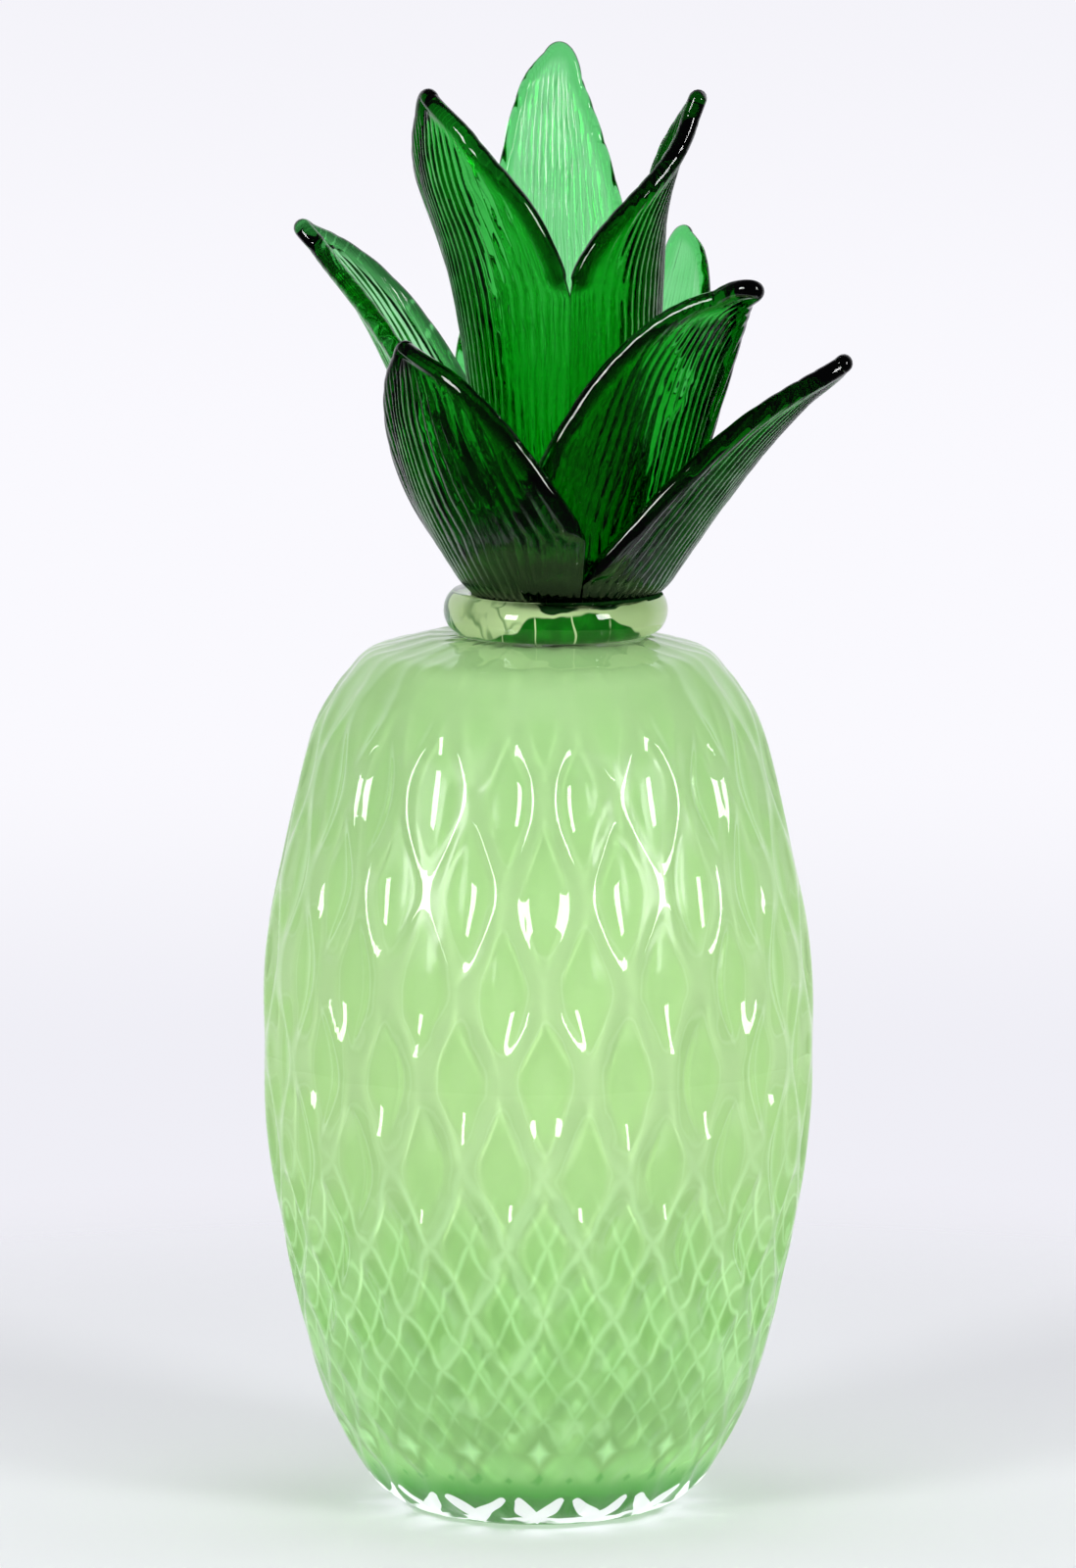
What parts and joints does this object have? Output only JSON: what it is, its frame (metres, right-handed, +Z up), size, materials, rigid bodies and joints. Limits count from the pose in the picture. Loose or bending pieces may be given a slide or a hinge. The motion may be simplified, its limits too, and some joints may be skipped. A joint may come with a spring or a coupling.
{
  "type": "glass pineapple ornament",
  "caption": "Free-standing ornament: a tall cased glass pineapple with a diamond relief, a clear collar and a crown of ribbed green leaves.",
  "frame": {"origin": "centre of the flat foot, on the surface that the ornament stands on", "axes": "+Z up along the body towards the crown, -Y towards the front as pictured, +X to the right seen from the front"},
  "size_m": [0.1588, 0.1484, 0.3976],
  "materials": {
    "clear_glass": "clear, fire polished",
    "opal_glass": "pale green opal glass, smooth",
    "leaf_glass": "deep green transparent glass, ribbed, fire polished"
  },
  "bodies": {
    "root": {"clear_casing": "clear_glass", "green_bubble": "opal_glass", "clear_collar": "clear_glass", "crown_hub": "leaf_glass", "outer_leaf_front_left": "leaf_glass", "outer_leaf_right": "leaf_glass", "outer_leaf_back": "leaf_glass", "middle_leaf_front_right": "leaf_glass", "middle_leaf_back_right": "leaf_glass", "middle_leaf_left": "leaf_glass", "inner_leaf_front_left": "leaf_glass", "inner_leaf_right": "leaf_glass", "inner_leaf_back": "leaf_glass"}
  },
  "joints": []
}
